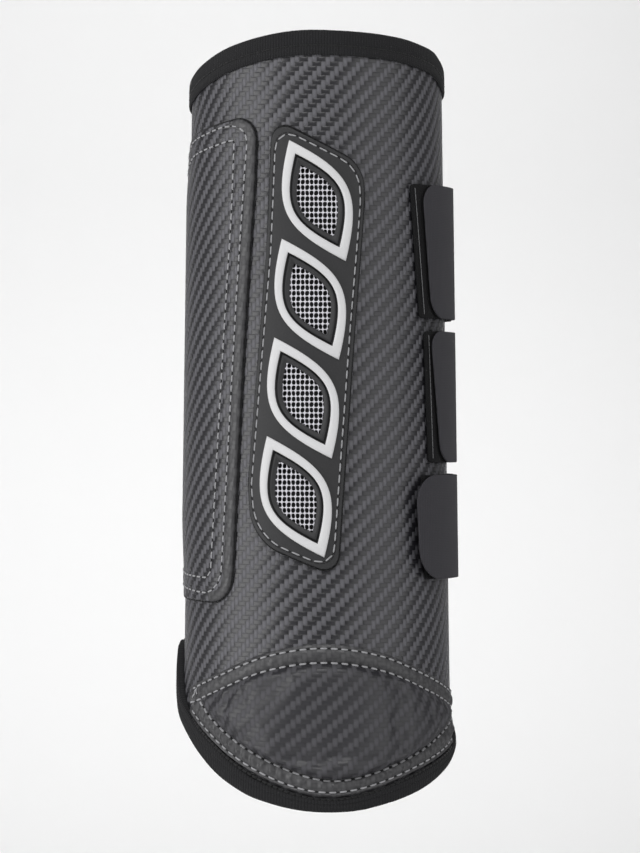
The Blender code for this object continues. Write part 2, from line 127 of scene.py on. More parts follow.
def edge_height(points, angle):
    """Height at an angle of the smooth line through an edge's points."""
    last = len(points) - 2
    i = max(0, min(last, sum(1 for p in points if p[0] <= angle) - 1))
    slopes = []
    for k in (i, i + 1):
        a, b = points[max(k - 1, 0)], points[min(k + 1, last + 1)]
        slopes.append((b[1] - a[1]) / (b[0] - a[0]))
    width = points[i + 1][0] - points[i][0]
    t = (angle - points[i][0]) / width
    rise = points[i][1] * (2 * t ** 3 - 3 * t ** 2 + 1) + points[i + 1][1] * (3 * t ** 2 - 2 * t ** 3)
    return rise + width * (slopes[0] * (t ** 3 - 2 * t ** 2 + t) + slopes[1] * (t ** 3 - t ** 2))


def slope_factor(points, angle):
    """How much longer a vertical step is than the same step square to a sloping edge."""
    step = 1.0
    rise = edge_height(points, angle + step) - edge_height(points, angle - step)
    run = arc(angle + step) - arc(angle - step)
    return math.hypot(rise, run) / run


def ramp(value, start, end):
    """0 before start, 1 after end, smooth between."""
    t = max(0.0, min(1.0, (value - start) / (end - start)))
    return t * t * (3 - 2 * t)


def stations(start, end, step):
    """Evenly spaced values from start to end, about step apart."""
    count = max(1, round(abs(end - start) / step))
    return [start + (end - start) * k / count for k in range(count + 1)]


# ---------------------------------------------------------------- flat outlines

def bezier(points, steps):
    """Points of a cubic Bezier curve, without its last one."""
    curve = []
    for k in range(steps):
        t = k / steps
        weights = ((1 - t) ** 3, 3 * t * (1 - t) ** 2, 3 * t * t * (1 - t), t ** 3)
        curve.append(sum((w * p for w, p in zip(weights, points)), Vector((0.0, 0.0))))
    return curve


def leaf_outline(index, scale, steps=24):
    """Outline of one leaf window: two mirrored arcs that meet in pointed tips."""
    centre = LEAF_TOP + index * LEAF_STEP
    right = bezier([LEAF_TIP, LEAF_SHOULDER, LEAF_HIP, -LEAF_TIP], steps)
    return [tuple(centre + p * scale) for p in right + [-p for p in right]]


def leaves(scale, steps=24):
    """Outlines of all leaf windows."""
    return [leaf_outline(i, scale, steps) for i in range(LEAF_COUNT)]


def rounded_outline(corners, radii, steps=8):
    """Outline through the corners (anticlockwise), each cut back and rounded."""
    outline = []
    count = len(corners)
    for i, (corner, radius) in enumerate(zip(corners, radii)):
        corner = Vector(corner)
        if radius == 0:
            outline.append(tuple(corner))
            continue
        before = (Vector(corners[i - 1]) - corner).normalized() * radius
        after = (Vector(corners[(i + 1) % count]) - corner).normalized() * radius
        handles = [corner + before, corner + before * 0.45, corner + after * 0.45, corner + after]
        outline += [tuple(p) for p in bezier(handles, steps)] + [tuple(handles[-1])]
    return outline


def grown(outline, distance):
    """The outline moved outwards by a distance (inwards if negative); it runs anticlockwise."""
    result = []
    count = len(outline)
    for i in range(count):
        before = (Vector(outline[i]) - Vector(outline[i - 1])).normalized()
        after = (Vector(outline[(i + 1) % count]) - Vector(outline[i])).normalized()
        normal = Vector((before.y + after.y, -before.x - after.x)).normalized()
        reach = distance / max(0.5, normal.dot(Vector((after.y, -after.x))))
        result.append(tuple(Vector(outline[i]) + normal * reach))
    return result


def smoothed(outline):
    """Corner-cutting, which turns a coarse outline into a smoother one."""
    cut = []
    for a, b in zip(outline, outline[1:] + outline[:1]):
        a, b = Vector(a), Vector(b)
        cut += [tuple(a * 0.75 + b * 0.25), tuple(a * 0.25 + b * 0.75)]
    return cut


PLATE_CORNERS = [(7.4, -55.6), (9.4, -26.0), (14.0, 36.0), (18.2, 84.0), (17.5, 97.2), (-17.0, 114.9),
                 (-19.0, 65.0), (-23.3, 13.0), (-26.2, -22.0), (-24.3, -42.0)]


def plate_outline(inset=0.0):
    """Outline of the vent plate: a long leaning band with slanted, rounded ends."""
    corners = grown(PLATE_CORNERS, -inset)
    return rounded_outline(corners, [8, 0, 0, 0, 7, 9, 0, 0, 0, 11])


STRIKE_FRONT = [(-23.7, 116.4), (-24.7, 89.0), (-27.9, 45.0), (-30.0, 10.0), (-33.0, -50.0),
                (-34.3, -66.0)]
STRIKE_BACK = -126.0
STRIKE_PANEL = (0.3, 1.6)
STRIKE_BAND = [(0.08, 1.52), (0.2, 1.74), (0.5, 1.88), (0.8, 1.74), (0.92, 1.52), (0.5, 1.0)]
STRIKE_BORDER = [(0.0, 0.35), (-0.1, 1.2), (0.25, 1.72), (0.9, 1.95), (1.8, 2.0), (2.8, 1.9),
                 (3.6, 1.68), (3.9, 1.5), (3.0, 0.6)]
STRIKE_OUTER_ROW = [((-106.0, -58.5), 6), ((-66.2, -61.3), 0), ((-38.9, -63.3), 9), ((-37.7, -53.1), 0),
                    ((-31.5, 50.8), 0), ((-28.2, 97.4), 0), ((-26.6, 113.0), 8), ((-40.4, 112.3), 0),
                    ((-49.5, 110.4), 0), ((-62.5, 108.3), 0), ((-106.0, 94.0), 6)]
STRIKE_INNER_ROW = [((-100.5, -52.8), 2), ((-66.5, -56.1), 0), ((-44.3, -57.1), 3), ((-43.5, -54.1), 0),
                    ((-36.5, 50.9), 0), ((-34.6, 75.6), 0), ((-34.0, 89.4), 0), ((-33.3, 107.6), 1.5),
                    ((-42.8, 105.8), 0), ((-62.3, 102.6), 0), ((-100.5, 89.5), 2)]


def strike_outline():
    """Outline of the raised panel on the inner side of the leg."""
    back = arc(STRIKE_BACK)
    corners = [(back, -62.0), (-64.0, -65.4)] + STRIKE_FRONT[::-1] + [(-64.0, 110.3), (back, 97.0)]
    return rounded_outline(corners, [9, 0, 9, 0, 0, 0, 0, 10, 0, 9])


def strike_lift(angle, height):
    """The panel thins out towards its ends on the inner side of the leg."""
    ends = ramp(height, 84, 106) + ramp(-height, 34, 60)
    return -0.9 * ends * ramp(-angle, 60, 84)


# ---------------------------------------------------------------- meshes

def linked(name, data):
    """A new object with its data, linked to the scene."""
    thing = bpy.data.objects.new(name, data)
    bpy.context.scene.collection.objects.link(thing)
    return thing


def evaluated(thing):
    """The object with its modifiers applied."""
    return thing.evaluated_get(bpy.context.evaluated_depsgraph_get())


def flat_sheet(name, outlines, thickness, bevel):
    """Mesh of a flat sheet centred on z = 0, filled between outlines, with rounded edges."""
    curve = bpy.data.curves.new(name, "CURVE")
    curve.dimensions = "2D"
    curve.fill_mode = "BOTH"
    curve.extrude = thickness / 2 - bevel
    curve.bevel_depth = bevel
    curve.bevel_resolution = 2 if bevel else 0
    curve.offset = -bevel
    for outline in outlines:
        spline = curve.splines.new("POLY")
        spline.points.add(len(outline) - 1)
        for point, (x, y) in zip(spline.points, outline):
            point.co = (x, y, 0.0, 1.0)
        spline.use_cyclic_u = True
    flat = linked(name, curve)
    mesh = bpy.data.meshes.new_from_object(evaluated(flat))
    bpy.data.objects.remove(flat)
    bpy.data.curves.remove(curve)
    return mesh


def set_uv(sheet):
    """Store each corner's place on the flat pattern, in millimetres, as its UV."""
    layer = sheet.loops.layers.uv.new("flat")
    for face in sheet.faces:
        for loop in face.loops:
            loop[layer].uv = loop.vert.co.xy


def wrapped_panel(name, outlines, layer, bevel=0.0, lift=None, facet=2.5, rows=()):
    """Cut a sheet to flat outlines and wrap it round the leg; layer is (inner, outer) offset."""
    thickness = layer[1] - layer[0]
    mesh = flat_sheet(name, outlines, thickness, bevel)
    sheet = bmesh.new()
    sheet.from_mesh(mesh)
    bmesh.ops.remove_doubles(sheet, verts=sheet.verts, dist=1e-4)
    reach = [v.co.x for v in sheet.verts]
    first = math.ceil(turned(min(reach)) / facet)
    last = math.floor(turned(max(reach)) / facet)
    cuts = [((arc(k * facet), 0, 0), (1, 0, 0)) for k in range(first, last + 1)]
    cuts += [((0, height, 0), (0, 1, 0)) for height in rows]
    for point, normal in cuts:
        everything = sheet.verts[:] + sheet.edges[:] + sheet.faces[:]
        bmesh.ops.bisect_plane(sheet, geom=everything, dist=1e-4, plane_co=point, plane_no=normal)
    set_uv(sheet)
    middle = (layer[0] + layer[1]) / 2
    for vertex in sheet.verts:
        angle, height = turned(vertex.co.x), vertex.co.y
        rise = lift(angle, height) if lift else 0.0
        vertex.co = place(angle, height, middle + vertex.co.z + rise)
    return finished(sheet, mesh)


def finished(sheet, mesh, sharp=50):
    """Face a closed bmesh outwards, write it to the mesh and shade it smooth."""
    bmesh.ops.recalc_face_normals(sheet, faces=sheet.faces)
    if sheet.calc_volume(signed=True) < 0:
        bmesh.ops.reverse_faces(sheet, faces=sheet.faces)
    sheet.to_mesh(mesh)
    sheet.free()
    mesh.shade_smooth()
    mesh.set_sharp_from_angle(angle=math.radians(sharp))
    return mesh


def loft(name, rings, uvs, closed=False, sharp=50):
    """Skin equal rings of points; uvs has one more column than the rings, for the seam."""
    sheet = bmesh.new()
    layer = sheet.loops.layers.uv.new("flat")
    loops = [[sheet.verts.new(point) for point in ring] for ring in rings]
    count = len(loops[0])
    pairs = list(zip(range(len(rings)), range(1, len(rings))))
    if closed:
        pairs.append((len(rings) - 1, 0))
    for a, b in pairs:
        for i in range(count):
            j = (i + 1) % count
            face = sheet.faces.new((loops[a][i], loops[a][j], loops[b][j], loops[b][i]))
            last = len(rings) if closed and b == 0 else b
            spots = [uvs[a][i], uvs[a][i + 1], uvs[last][i + 1], uvs[last][i]]
            for corner, spot in zip(face.loops, spots):
                corner[layer].uv = spot
    if not closed:
        sheet.faces.new(loops[0])
        sheet.faces.new(loops[-1])
    return finished(sheet, bpy.data.meshes.new(name), sharp)


def add_piece(name, mesh, material, body=None, replaced=()):
    """Link a mesh as a visible piece that rides a body and stands for CAD nodes."""
    mesh.materials.clear()
    mesh.materials.append(material)
    piece = linked(name, mesh)
    if body:
        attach(piece, body)
    if replaced:
        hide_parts(*replaced)
    return piece


def even_normals(piece):
    """Let large faces set the shading beside small bevels."""
    modifier = piece.modifiers.new("even_normals", "WEIGHTED_NORMAL")
    modifier.keep_sharp = True
    modifier.weight = 80
    return piece


# ---------------------------------------------------------------- material nodes

class Graph:
    """Small helper that builds one material's node tree."""

    def __init__(self, name):
        self.material = bpy.data.materials.new(name)
        self.material.use_nodes = True
        self.nodes = self.material.node_tree.nodes
        self.links = self.material.node_tree.links
        self.shader = self.nodes["Principled BSDF"]
        source = self.nodes.new("ShaderNodeUVMap")
        source.uv_map = "flat"
        self.flat = source.outputs[0]

    def feed(self, value, socket):
        """Set a socket to a number or colour, or link an output to it."""
        if isinstance(value, bpy.types.NodeSocket):
            self.links.new(value, socket)
        elif isinstance(value, tuple) and len(value) == 3 and socket.type == "RGBA":
            socket.default_value = (*value, 1.0)
        else:
            socket.default_value = value

    def uv(self):
        """The two flat coordinates, in millimetres."""
        split = self.nodes.new("ShaderNodeSeparateXYZ")
        self.links.new(self.flat, split.inputs[0])
        return split.outputs[0], split.outputs[1]

    def math(self, operation, *values):
        node = self.nodes.new("ShaderNodeMath")
        node.operation = operation
        for value, socket in zip(values, node.inputs):
            self.feed(value, socket)
        return node.outputs[0]

    def product(self, first, *others):
        """All values multiplied."""
        for value in others:
            first = self.math("MULTIPLY", first, value)
        return first

    def total(self, first, second):
        return self.math("ADD", first, second)

    def spread(self, value, low, high):
        """Map 0..1 to low..high."""
        return self.math("MULTIPLY_ADD", value, high - low, low)

    def hill(self, value):
        """A rounded hill over each 0..1."""
        return self.math("SINE", self.product(value, math.pi))

    def rounded(self, value, power):
        """The hill, flattened towards its top."""
        return self.math("POWER", self.hill(value), power)

    def ridges(self, value):
        """A hill over every step of 1."""
        return self.hill(self.math("FRACT", value))

    def steps(self, value, size):
        return self.math("DIVIDE", value, size)

    def texture(self, kind, output, **settings):
        """A texture over the flat pattern; its scale is in repeats for each millimetre."""
        node = self.nodes.new(kind)
        for name, value in settings.items():
            node.inputs[name].default_value = value
        self.links.new(self.flat, node.inputs["Vector"])
        return node.outputs[output]

    def noise(self, scale, detail=3.0, roughness=0.6):
        return self.texture("ShaderNodeTexNoise", "Fac", Scale=scale, Detail=detail,
                            Roughness=roughness)

    def mix(self, factor, first, second):
        node = self.nodes.new("ShaderNodeMix")
        node.data_type = "RGBA"
        for name, value in (("Factor", factor), ("A", first), ("B", second)):
            self.feed(value, node.inputs[name])
        return node.outputs["Result"]

    def surface(self, colour, roughness, height, depth):
        """Feed the shader; depth is the relief in millimetres for a height from 0 to 1."""
        self.feed(colour, self.shader.inputs["Base Color"])
        self.feed(roughness, self.shader.inputs["Roughness"])
        bump = self.nodes.new("ShaderNodeBump")
        bump.inputs["Strength"].default_value = 1.0
        bump.inputs["Distance"].default_value = depth * MM
        self.links.new(height, bump.inputs["Height"])
        self.links.new(bump.outputs[0], self.shader.inputs["Normal"])
        return self.material

    def tinted(self, shade, colour, darkest, *finish):
        """A surface between a share of the colour and the colour itself."""
        dark = tuple(c * darkest for c in colour)
        return self.surface(self.mix(shade, dark, colour), *finish)

    def preset(self, **values):
        """Set plain values on the shader's own sockets."""
        for name, value in values.items():
            self.shader.inputs[name.replace("_", " ")].default_value = value


CARBON_CELL = 1.72
WEFT_ROUGH, WARP_ROUGH = 0.36, 0.62


def carbon_material(name, light, dark, depth, dullness=0.0):
    """Embossed twill: upright floats two cells tall that climb to the right."""
    g = Graph(name)
    u, v = (g.steps(value, CARBON_CELL) for value in g.uv())
    fu = g.math("FRACT", u)
    fv = g.math("FRACT", v)
    climb = g.math("SUBTRACT", g.math("FLOOR", v), g.math("FLOOR", u))
    phase = g.math("FLOORED_MODULO", climb, 4.0)
    upright = g.math("LESS_THAN", phase, 1.5)
    along = g.steps(g.total(phase, fv), 2.0)
    warp = g.product(g.rounded(along, 0.6), g.rounded(fu, 0.5))
    flat_along = g.steps(g.total(g.math("SUBTRACT", 3.0, phase), fu), 2.0)
    weft = g.product(g.rounded(flat_along, 0.6), g.rounded(fv, 0.5), 0.75)
    height = g.total(g.product(warp, upright), g.product(weft, g.math("SUBTRACT", 1.0, upright)))
    fleck = g.noise(1.7, 4.0, 0.7)
    # Painted shade: the colour falls towards near-black where the weave's height is low, in the hollows
    # between floats; the three noises are the twill's own uneven tone.
    shade = g.product(g.spread(height, 0.5, 1.0), g.spread(g.noise(0.035, 2.0), 0.86, 1.14),
                      g.spread(fleck, 0.66, 1.34), g.spread(g.noise(0.6), 0.8, 1.2))
    # The upright floats' light colour stands in for the sheen their fibres throw back from side lamps:
    # a painted sheen. The weft floats' highlights come from their lower roughness.
    colour = g.mix(shade, (0.004, 0.004, 0.005), g.mix(upright, dark, light))
    rough = g.total(g.spread(upright, WEFT_ROUGH + dullness, WARP_ROUGH + dullness),
                    g.spread(fleck, -0.07, 0.07))
    g.preset(Specular_IOR_Level=1.0)
    return g.surface(colour, rough, g.total(height, g.product(fleck, 0.15)), depth)


def tape_material(name, colour, rib, depth, sheen):
    """Woven tape: fine ribs across its length."""
    g = Graph(name)
    u, v = g.uv()
    threads = g.spread(g.ridges(g.steps(v, rib * 0.7)), 0.6, 1.0)
    fuzz = g.noise(2.2, 4.0, 0.75)
    relief = g.total(g.product(g.ridges(g.steps(u, rib)), threads), g.product(fuzz, 0.5))
    # Painted shade: darker where the relief is low, in the hollows between ribs; the slow noise is the
    # tape's own uneven tone.
    shade = g.product(g.spread(relief, 0.5, 1.1), g.spread(g.noise(0.05, 2.0), 0.85, 1.15))
    g.preset(Sheen_Weight=sheen, Sheen_Roughness=0.45, Specular_IOR_Level=0.25)
    return g.tinted(shade, colour, 0.25, g.spread(fuzz, 0.72, 0.92), relief, depth)


def knit_material(name, colour, pitch, depth):
    """Fine knit: rows of small loops."""
    g = Graph(name)
    u, v = g.uv()
    row = g.steps(v, pitch * 0.8)
    wave = g.product(g.math("SINE", g.product(row, 2 * math.pi)), 0.18)
    loops = g.ridges(g.total(g.steps(u, pitch), wave))
    fuzz = g.noise(2.6, 3.0, 0.7)
    relief = g.total(g.product(loops, g.spread(g.ridges(row), 0.5, 1.0)), g.product(fuzz, 0.3))
    # Painted shade: darker where the relief is low, between the loops; the slow noise is the knit's own
    # uneven tone.
    shade = g.product(g.spread(relief, 0.45, 1.1), g.spread(g.noise(0.03, 2.0), 0.88, 1.12))
    g.preset(Sheen_Weight=0.25, Sheen_Roughness=0.5)
    return g.tinted(shade, colour, 0.3, g.spread(fuzz, 0.8, 0.95), relief, depth)


def grain_material(name, colour, roughness, grain, depth, contrast=0.12):
    """Moulded or foamed material: pebbled grain with a slow drift of tone."""
    g = Graph(name)
    pebbles = g.texture("ShaderNodeTexVoronoi", "Distance", Scale=grain)
    fine = g.noise(grain * 2.3, 4.0, 0.7)
    relief = g.total(g.product(pebbles, 0.6), g.product(fine, 0.4))
    shade = g.product(g.spread(fine, 1 - contrast, 1 + contrast),
                      g.spread(g.noise(0.04), 1 - contrast, 1 + contrast), 0.95)
    dark = tuple(c * 0.1 for c in colour)
    light = tuple(min(1.0, c * 1.05) for c in colour)
    rough = g.spread(fine, roughness - 0.07, roughness + 0.07)
    return g.surface(g.mix(shade, dark, light), rough, relief, depth)


def pile_material(name, colour, pitch, depth, rough):
    """Hook or loop tape: a dense field of little tufts."""
    g = Graph(name)
    tufts = g.texture("ShaderNodeTexVoronoi", "Distance", Scale=1 / pitch)
    relief = g.math("SUBTRACT", g.spread(g.noise(2.0 / pitch, 4.0, 0.8), 0.4, 1.2), tufts)
    g.preset(Sheen_Weight=0.3, Sheen_Roughness=0.5)
    # Painted shade: the colour follows the relief, darker where it is low, between the tufts.
    return g.tinted(g.spread(relief, 0.3, 1.2), colour, 0.2, rough, relief, depth)


def thread_material(name, colour):
    """Twisted sewing thread; its UV runs along the stitch."""
    g = Graph(name)
    u, v = g.uv()
    strands = g.ridges(g.total(g.product(u, 2.2), g.product(v, 0.9)))
    fuzz = g.noise(3.0, 3.0, 0.7)
    # Painted shade: darker between the strands of the twist; the fuzz noise is the thread's own uneven
    # tone.
    shade = g.product(g.spread(strands, 0.45, 1.0), g.spread(fuzz, 0.8, 1.15))
    g.preset(Sheen_Weight=0.2, Sheen_Roughness=0.4)
    return g.tinted(shade, colour, 0.45, g.spread(fuzz, 0.55, 0.75), strands, 0.08)


CARBON = carbon_material("carbon_twill", (0.142, 0.140, 0.159), (0.027, 0.026, 0.032), 0.2)
# The pad's cover is the same twill in a darker copy: painted shade for the dome, whose lower half faces
# down.
CARBON_PAD_SHADED = carbon_material("carbon_pad_shaded", (0.080, 0.078, 0.090), (0.026, 0.025, 0.032),
                                0.12, 0.12)
CARBON_PRESSED = carbon_material("carbon_pressed", (0.092, 0.091, 0.096), (0.066, 0.065, 0.070),
                                 0.08, 0.1)
TAPE = tape_material("binding_tape", (0.027, 0.027, 0.029), 1.1, 0.3, 0.05)
STRAP = tape_material("strap_face", (0.064, 0.062, 0.071), 0.9, 0.10, 0.08)
ELASTIC = tape_material("elastic_weave", (0.012, 0.012, 0.013), 1.3, 0.22, 0.03)
LINING_KNIT = knit_material("lining_knit", (0.030, 0.030, 0.032), 1.1, 0.18)
MESH_YARN = grain_material("mesh_yarn", (0.90, 0.89, 0.98), 0.7, 1.4, 0.05, 0.12)
RUBBER = grain_material("vent_rubber", (0.042, 0.042, 0.044), 0.55, 1.1, 0.07)
RIM = grain_material("rim_plastic", (0.92, 0.92, 0.93), 0.42, 0.9, 0.03, 0.05)
FOAM_CELLS = grain_material("foam_cells", (0.014, 0.014, 0.015), 0.9, 0.9, 0.15, 0.25)
HOOKS = pile_material("hook_tape", (0.020, 0.020, 0.021), 1.1, 0.35, 0.6)
LOOPS = pile_material("loop_tape", (0.026, 0.026, 0.028), 0.7, 0.3, 0.95)
GREY_THREAD = thread_material("grey_thread", (0.56, 0.56, 0.58))
# Grey for the line along each elastic's tip: a painted highlight, not a thread.
EDGE_GLINT = thread_material("edge_glint", (0.24, 0.24, 0.25))
# Black thread; the same material also paints shade: the needle holes between stitches and the shadow
# cords.
BLACK_THREAD_AND_SHADE = thread_material("black_thread_and_shade", (0.010, 0.010, 0.011))
BLACK_PAIR = (BLACK_THREAD_AND_SHADE, BLACK_THREAD_AND_SHADE)


# ---------------------------------------------------------------- stitching

STITCH_SIDES = 6
STITCH_RINGS = 6
STITCH_PITCH = 3.75
HOLE_OVERLAP = 0.15
THREAD_SINK = 0.12
HOLE_SINK = 0.34


def path_lengths(path):
    """Distance along a flat path at each of its points."""
    steps = [math.dist(a, b) for a, b in zip(path, path[1:])]
    return np.concatenate([[0.0], np.cumsum(steps)])


def follow(path):
    """Length of a flat path, and a function from a distance along it to the point there."""
    lengths = path_lengths(path)
    xs, ys = zip(*path)
    return lengths[-1], lambda run: np.array([np.interp(run, lengths, xs), np.interp(run, lengths, ys)])


class Beads:
    """Collects small capsules laid on the leg form into one mesh."""

    def __init__(self):
        self.verts, self.faces, self.spots, self.kinds = [], [], [], []

    def add(self, start, end, width, offset, sink, kind):
        """A capsule between two flat points, swelling out of the surface in its middle."""
        length = np.linalg.norm(end - start)
        direction = (end - start) / max(1e-6, length)
        side = np.array([-direction[1], direction[0]])
        base = len(self.verts)
        for r in range(STITCH_RINGS + 1):
            t = r / STITCH_RINGS
            swell = math.sin(math.pi * t)
            thick = width * (0.35 + 0.65 * min(1.0, 2.2 * swell))
            centre = start + (end - start) * t
            rise = width * (0.3 + 0.55 * min(1.0, 1.8 * swell)) - sink
            for s in range(STITCH_SIDES):
                turn = 2 * math.pi * s / STITCH_SIDES
                x, y = centre + side * (thick * math.cos(turn))
                level = offset(turned(x), y) if callable(offset) else offset
                self.verts.append(place(turned(x), y, level + rise + thick * 0.8 * math.sin(turn)))
                self.spots.append((t * length + base * 0.3, s / STITCH_SIDES))
        sides = range(STITCH_SIDES)
        for low in range(base, base + STITCH_RINGS * STITCH_SIDES, STITCH_SIDES):
            high = low + STITCH_SIDES
            for s in sides:
                n = (s + 1) % STITCH_SIDES
                self.faces.append((low + s, low + n, high + n, high + s))
        self.faces.append(tuple(base + s for s in reversed(sides)))
        self.faces.append(tuple(base + STITCH_RINGS * STITCH_SIDES + s for s in sides))
        self.kinds += [kind] * (STITCH_RINGS * STITCH_SIDES + 2)

    def piece(self, name, materials, body):
        """Make the visible piece; each capsule's kind picks its material."""
        mesh = bpy.data.meshes.new(name)
        mesh.from_pydata(self.verts, [], self.faces)
        layer = mesh.uv_layers.new(name="flat")
        for loop in mesh.loops:
            layer.data[loop.index].uv = self.spots[loop.vertex_index]
        sheet = bmesh.new()
        sheet.from_mesh(mesh)
        finished(sheet, mesh)
        piece = add_piece(name, mesh, materials[0], body)
        mesh.materials.append(materials[1])
        mesh.polygons.foreach_set("material_index", self.kinds)
        return piece


def stitch_row(name, paths, offset, body, materials=(GREY_THREAD, BLACK_THREAD_AND_SHADE),
               pitch=STITCH_PITCH, length=2.6, width=0.32):
    """Rows of raised stitches along flat paths, with a sunk black bead in every gap: painted shade for
    the needle hole.
    """
    beads = Beads()
    for path in paths:
        whole, spot = follow(path)
        count = max(1, round(whole / pitch))
        for k in range(count):
            start = (k + 0.5) * (whole / count) - length / 2
            hole = start + length - HOLE_OVERLAP
            hole_end = hole + whole / count - length + 2 * HOLE_OVERLAP
            beads.add(spot(start), spot(start + length), width, offset, THREAD_SINK, 0)
            beads.add(spot(hole), spot(hole_end), width * 1.15, offset, HOLE_SINK, 1)
    return beads.piece(name, materials, body)


def closed(outline):
    """The outline with its first point again at the end."""
    return outline + [outline[0]]


def edge_path(points, start, end, shift, step=2.0):
    """Flat path that follows an edge line at a height shift."""
    return [(arc(a), edge_height(points, a) + shift) for a in stations(start, end, step)]


# ---------------------------------------------------------------- the wrap's layers

def inside_top(angle):
    """Top of the layers, under the fold of the top binding."""
    return edge_height(TOP_EDGE, angle) - (TOP_TAPE + GAP + 1.2) * slope_factor(TOP_EDGE, angle)


def inside_bottom(angle):
    """Bottom of the layers, above the fold of the bottom binding."""
    return edge_height(BOTTOM_EDGE, angle) + (HEM_TAPE + GAP + 1.2) * slope_factor(BOTTOM_EDGE, angle)


def bend(piece):
    """Bake a rear piece's placement into its mesh; the piece rides no body."""
    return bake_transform(piece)


def layer_outline(start, end):
    """Flat outline of a layer of the wrap between two angles."""
    angles = stations(start, end, 2.5)
    lower = [(arc(a), inside_bottom(a)) for a in angles]
    return lower + [(arc(a), inside_top(a)) for a in reversed(angles)]


FLARE_ROWS = (-90, -100, -110, -120, -130, -137)
FRONT_END = NEAR_EDGE - turned(EDGE_TAPE + GAP + 0.4)
REAR_START = FAR_EDGE + turned(EDGE_TAPE + GAP + 0.4)
REAR_END = SEAM + 360


def add_layers():
    """Shell, foam and lining: a rigid front half on the main wrap, and a rear half that rides no body.
    """
    layers = [("shell", SHELL, CARBON, "outer_shell", "rear_shell"),
              ("foam", FOAM, FOAM_CELLS, "foam_core", "rear_foam"),
              ("lining", LINING, LINING_KNIT, "mesh_lining", "rear_lining")]
    front = layer_outline(SEAM, FRONT_END)
    rear = layer_outline(REAR_START, REAR_END)
    for name, layer, material, front_node, rear_node in layers:
        holes = leaves(SHELL_HOLE) if name == "shell" else []
        mesh = wrapped_panel(name, [front] + holes, layer, rows=FLARE_ROWS)
        ahead = add_piece(f"{name}_front", mesh, material, "main_wrap", [front_node])
        mesh = wrapped_panel(name, [rear], layer, rows=FLARE_ROWS)
        behind = bend(add_piece(f"{name}_rear", mesh, material, None, [rear_node]))


def fold_section(tape, band, roll):
    """Closed section of a folded tape, as (offset, depth from the edge, distance across)."""
    outer = SHELL[1] + GAP * 0.5
    inner = LINING[0] - GAP * 0.5
    face = outer + tape
    back = inner - tape
    points = [(outer, band), (outer + tape * 0.55, band + 0.05), (face - 0.08, band - 0.35),
              (face + 0.08, band - 1.4), (face, band * 0.68), (face - 0.2, band * 0.62),
              (face, band * 0.56), (face + 0.08, band * 0.35)]
    quarter = [math.pi / 2 * k / 4 for k in range(5)]
    points += [(face - roll + roll * math.cos(turn), roll - roll * math.sin(turn)) for turn in quarter]
    points += [(back + roll - roll * math.sin(turn), roll - roll * math.cos(turn)) for turn in quarter]
    points += [(back, band * 0.5), (back, band - 1.2), (back + 0.1, band - 0.3), (inner, band)]
    points += [(inner, tape + 0.6), ((inner + outer) / 2, tape + 0.4), (outer, tape + 0.6)]
    return points


def across_distances(section):
    """Distance across the tape at each point of its section, and back at the first."""
    total = [0.0]
    for a, b in zip(section, section[1:] + section[:1]):
        total.append(total[-1] + math.dist(a, b))
    return total


HEM_WIDTHS = [(-132, 5.0), (-90, 6.0), (-80, 6.4), (-67, 6.8), (-57, 7.4), (-46, 8.2), (-32, 7.3),
              (-18, 6.2), (-8, 5.3), (6, 4.5), (20, 5.2), (34, 6.1), (48, 6.1), (62, 5.4), (80, 3.8),
              (112, 4.8), (138, 4.8), (270, 5.8)]


def hem_swell(angle):
    """Extra fullness of the hem tape where it rounds the inner side of the leg."""
    return 1.1 * ramp(-angle, 52, 82)


def add_fold(name, points, start, end, tape, band, direction, roll):
    """Tape folded over a top (direction 1) or bottom (-1) edge."""
    hem = direction < 0
    section = fold_section(tape, band, roll)
    across = across_distances(section)
    rings, uvs = [], []
    run = 0.0
    before = None
    for angle in stations(start, end, 2.0):
        factor = slope_factor(points, angle) * direction
        edge = edge_height(points, angle)
        here = (arc(angle), edge)
        run += math.dist(before, here) if before else 0.0
        before = here
        width = edge_height(HEM_WIDTHS, angle) / band if hem else 1.0
        swell = hem_swell(angle) if hem else 0.0
        ring = []
        for offset, depth in section:
            out = offset + (swell if offset > 1.0 else 0.0)
            deep = depth * width if depth > band * 0.3 else depth
            ring.append(place(angle, edge - deep * factor, out))
        rings.append(ring)
        uvs.append([(run, distance) for distance in across])
    return loft(name, rings, uvs)


def add_side_fold(name, edge, inward, roll):
    """Tape folded over a straight closing edge; inward is the direction of the sheet."""
    section = fold_section(EDGE_TAPE, EDGE_BAND, roll)
    across = across_distances(section)
    rings, uvs = [], []
    for t in stations(0.0, 1.0, 0.02):
        ring = []
        for offset, depth in section:
            angle = edge + inward * turned(depth)
            low = edge_height(BOTTOM_EDGE, angle)
            high = edge_height(TOP_EDGE, angle)
            ring.append(place(angle, low + (high - low) * t, offset))
        rings.append(ring)
        uvs.append([(t * 230, distance) for distance in across])
    return loft(name, rings, uvs)


